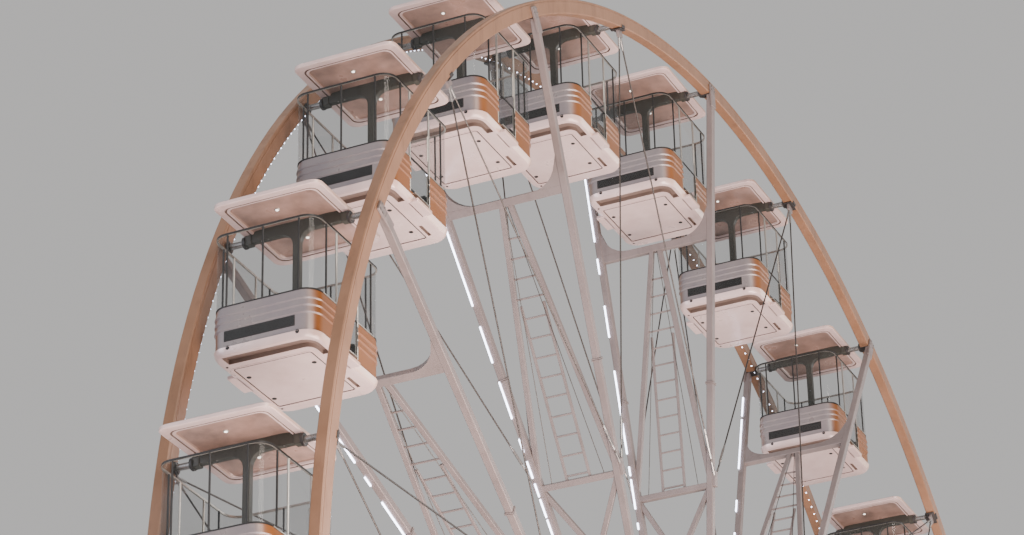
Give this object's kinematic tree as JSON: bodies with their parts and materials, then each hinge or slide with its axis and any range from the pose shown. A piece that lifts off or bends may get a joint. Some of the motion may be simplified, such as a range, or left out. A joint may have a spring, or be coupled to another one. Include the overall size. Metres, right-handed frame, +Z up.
{
  "type": "ferris wheel",
  "caption": "Open-frame observation wheel: two box rims on twin-spoke frames and stay cables, hanging glazed cabins, A-frame towers, sill base and boarding deck.",
  "frame": {"origin": "ground level below the middle of the hub, at the centre of the base", "axes": "+Z up, Y along the wheel's axle with the near side at -Y, X across in the plane of the wheel"},
  "size_m": [31.6958, 11.3006, 33.42],
  "materials": {
    "rim_paint": "satin warm tan enamel on steel tube",
    "frame_paint": "satin warm grey enamel on steel tube",
    "hub_paint": "satin grey enamel",
    "cable_steel": "galvanised wire rope",
    "cabin_shell": "gloss moulded shell",
    "axle_steel": "turned steel",
    "tower_paint": "satin warm grey enamel on steel box section",
    "base_paint": "satin dark grey enamel on steel beams",
    "deck_aluminium": "chequered aluminium plate",
    "railing_steel": "galvanised and painted tube"
  },
  "bodies": {
    "support": {"axle": "axle_steel", "tower_head_near": "tower_paint", "tower_head_far": "tower_paint", "tower_leg_near_left": "tower_paint", "tower_leg_near_right": "tower_paint", "tower_leg_far_left": "tower_paint", "tower_leg_far_right": "tower_paint", "sill_near": "base_paint", "sill_far": "base_paint", "cross_sill_left": "base_paint", "cross_sill_right": "base_paint", "platform_deck": "deck_aluminium", "steps_near": "deck_aluminium", "steps_far": "deck_aluminium", "railing_near_left": "railing_steel", "railing_near_right": "railing_steel", "railing_far_left": "railing_steel", "railing_far_right": "railing_steel"},
    "wheel": {"rim_near": "rim_paint", "rim_far": "rim_paint", "hub": "hub_paint", "stay_cables_near": "cable_steel", "stay_cables_far": "cable_steel", "spoke_frame_01": "frame_paint", "spoke_frame_02": "frame_paint", "spoke_frame_03": "frame_paint", "spoke_frame_04": "frame_paint", "spoke_frame_05": "frame_paint", "spoke_frame_06": "frame_paint", "spoke_frame_07": "frame_paint", "spoke_frame_08": "frame_paint", "spoke_frame_09": "frame_paint", "spoke_frame_10": "frame_paint", "spoke_frame_11": "frame_paint", "spoke_frame_12": "frame_paint"},
    "cabin_01": {"cabin_01": "cabin_shell"},
    "cabin_02": {"cabin_02": "cabin_shell"},
    "cabin_03": {"cabin_03": "cabin_shell"},
    "cabin_04": {"cabin_04": "cabin_shell"},
    "cabin_05": {"cabin_05": "cabin_shell"},
    "cabin_06": {"cabin_06": "cabin_shell"},
    "cabin_07": {"cabin_07": "cabin_shell"},
    "cabin_08": {"cabin_08": "cabin_shell"},
    "cabin_09": {"cabin_09": "cabin_shell"},
    "cabin_10": {"cabin_10": "cabin_shell"},
    "cabin_11": {"cabin_11": "cabin_shell"},
    "cabin_12": {"cabin_12": "cabin_shell"},
    "cabin_13": {"cabin_13": "cabin_shell"},
    "cabin_14": {"cabin_14": "cabin_shell"},
    "cabin_15": {"cabin_15": "cabin_shell"},
    "cabin_16": {"cabin_16": "cabin_shell"},
    "cabin_17": {"cabin_17": "cabin_shell"},
    "cabin_18": {"cabin_18": "cabin_shell"},
    "cabin_19": {"cabin_19": "cabin_shell"},
    "cabin_20": {"cabin_20": "cabin_shell"},
    "cabin_21": {"cabin_21": "cabin_shell"},
    "cabin_22": {"cabin_22": "cabin_shell"},
    "cabin_23": {"cabin_23": "cabin_shell"},
    "cabin_24": {"cabin_24": "cabin_shell"}
  },
  "joints": [
    {"name": "wheel_spin", "type": "hinge", "parent": "support", "child": "wheel", "pos_m": [0, 0, 18.3], "axis": [0, 1, 0], "continuous": true},
    {"name": "cabin_01_swing", "type": "hinge", "parent": "wheel", "child": "cabin_01", "pos_m": [14.89795, 0, 19.42018], "axis": [0, 1, 0], "continuous": true},
    {"name": "cabin_02_swing", "type": "hinge", "parent": "wheel", "child": "cabin_02", "pos_m": [14.10039, 0, 23.23788], "axis": [0, 1, 0], "continuous": true},
    {"name": "cabin_03_swing", "type": "hinge", "parent": "wheel", "child": "cabin_03", "pos_m": [12.34191, 0, 26.71908], "axis": [0, 1, 0], "continuous": true},
    {"name": "cabin_04_swing", "type": "hinge", "parent": "wheel", "child": "cabin_04", "pos_m": [9.74235, 0, 29.62653], "axis": [0, 1, 0], "continuous": true},
    {"name": "cabin_05_swing", "type": "hinge", "parent": "wheel", "child": "cabin_05", "pos_m": [6.47887, 0, 31.76209], "axis": [0, 1, 0], "continuous": true},
    {"name": "cabin_06_swing", "type": "hinge", "parent": "wheel", "child": "cabin_06", "pos_m": [2.77386, 0, 32.98024], "axis": [0, 1, 0], "continuous": true},
    {"name": "cabin_07_swing", "type": "hinge", "parent": "wheel", "child": "cabin_07", "pos_m": [-1.12018, 0, 33.19795], "axis": [0, 1, 0], "continuous": true},
    {"name": "cabin_08_swing", "type": "hinge", "parent": "wheel", "child": "cabin_08", "pos_m": [-4.93788, 0, 32.40039], "axis": [0, 1, 0], "continuous": true},
    {"name": "cabin_09_swing", "type": "hinge", "parent": "wheel", "child": "cabin_09", "pos_m": [-8.41908, 0, 30.64191], "axis": [0, 1, 0], "continuous": true},
    {"name": "cabin_10_swing", "type": "hinge", "parent": "wheel", "child": "cabin_10", "pos_m": [-11.32653, 0, 28.04235], "axis": [0, 1, 0], "continuous": true},
    {"name": "cabin_11_swing", "type": "hinge", "parent": "wheel", "child": "cabin_11", "pos_m": [-13.46209, 0, 24.77887], "axis": [0, 1, 0], "continuous": true},
    {"name": "cabin_12_swing", "type": "hinge", "parent": "wheel", "child": "cabin_12", "pos_m": [-14.68023, 0, 21.07386], "axis": [0, 1, 0], "continuous": true},
    {"name": "cabin_13_swing", "type": "hinge", "parent": "wheel", "child": "cabin_13", "pos_m": [-14.89795, 0, 17.17982], "axis": [0, 1, 0], "continuous": true},
    {"name": "cabin_14_swing", "type": "hinge", "parent": "wheel", "child": "cabin_14", "pos_m": [-14.10039, 0, 13.36211], "axis": [0, 1, 0], "continuous": true},
    {"name": "cabin_15_swing", "type": "hinge", "parent": "wheel", "child": "cabin_15", "pos_m": [-12.34191, 0, 9.88092], "axis": [0, 1, 0], "continuous": true},
    {"name": "cabin_16_swing", "type": "hinge", "parent": "wheel", "child": "cabin_16", "pos_m": [-9.74235, 0, 6.97347], "axis": [0, 1, 0], "continuous": true},
    {"name": "cabin_17_swing", "type": "hinge", "parent": "wheel", "child": "cabin_17", "pos_m": [-6.47887, 0, 4.83791], "axis": [0, 1, 0], "continuous": true},
    {"name": "cabin_18_swing", "type": "hinge", "parent": "wheel", "child": "cabin_18", "pos_m": [-2.77386, 0, 3.61977], "axis": [0, 1, 0], "continuous": true},
    {"name": "cabin_19_swing", "type": "hinge", "parent": "wheel", "child": "cabin_19", "pos_m": [1.12018, 0, 3.40205], "axis": [0, 1, 0], "continuous": true},
    {"name": "cabin_20_swing", "type": "hinge", "parent": "wheel", "child": "cabin_20", "pos_m": [4.93788, 0, 4.19961], "axis": [0, 1, 0], "continuous": true},
    {"name": "cabin_21_swing", "type": "hinge", "parent": "wheel", "child": "cabin_21", "pos_m": [8.41908, 0, 5.95809], "axis": [0, 1, 0], "continuous": true},
    {"name": "cabin_22_swing", "type": "hinge", "parent": "wheel", "child": "cabin_22", "pos_m": [11.32653, 0, 8.55765], "axis": [0, 1, 0], "continuous": true},
    {"name": "cabin_23_swing", "type": "hinge", "parent": "wheel", "child": "cabin_23", "pos_m": [13.46209, 0, 11.82113], "axis": [0, 1, 0], "continuous": true},
    {"name": "cabin_24_swing", "type": "hinge", "parent": "wheel", "child": "cabin_24", "pos_m": [14.68023, 0, 15.52614], "axis": [0, 1, 0], "continuous": true}
  ],
  "couplings": [
    {"joint": "cabin_01_swing", "follows": "wheel_spin", "ratio": -1},
    {"joint": "cabin_02_swing", "follows": "wheel_spin", "ratio": -1},
    {"joint": "cabin_03_swing", "follows": "wheel_spin", "ratio": -1},
    {"joint": "cabin_04_swing", "follows": "wheel_spin", "ratio": -1},
    {"joint": "cabin_05_swing", "follows": "wheel_spin", "ratio": -1},
    {"joint": "cabin_06_swing", "follows": "wheel_spin", "ratio": -1},
    {"joint": "cabin_07_swing", "follows": "wheel_spin", "ratio": -1},
    {"joint": "cabin_08_swing", "follows": "wheel_spin", "ratio": -1},
    {"joint": "cabin_09_swing", "follows": "wheel_spin", "ratio": -1},
    {"joint": "cabin_10_swing", "follows": "wheel_spin", "ratio": -1},
    {"joint": "cabin_11_swing", "follows": "wheel_spin", "ratio": -1},
    {"joint": "cabin_12_swing", "follows": "wheel_spin", "ratio": -1},
    {"joint": "cabin_13_swing", "follows": "wheel_spin", "ratio": -1},
    {"joint": "cabin_14_swing", "follows": "wheel_spin", "ratio": -1},
    {"joint": "cabin_15_swing", "follows": "wheel_spin", "ratio": -1},
    {"joint": "cabin_16_swing", "follows": "wheel_spin", "ratio": -1},
    {"joint": "cabin_17_swing", "follows": "wheel_spin", "ratio": -1},
    {"joint": "cabin_18_swing", "follows": "wheel_spin", "ratio": -1},
    {"joint": "cabin_19_swing", "follows": "wheel_spin", "ratio": -1},
    {"joint": "cabin_20_swing", "follows": "wheel_spin", "ratio": -1},
    {"joint": "cabin_21_swing", "follows": "wheel_spin", "ratio": -1},
    {"joint": "cabin_22_swing", "follows": "wheel_spin", "ratio": -1},
    {"joint": "cabin_23_swing", "follows": "wheel_spin", "ratio": -1},
    {"joint": "cabin_24_swing", "follows": "wheel_spin", "ratio": -1}
  ]
}
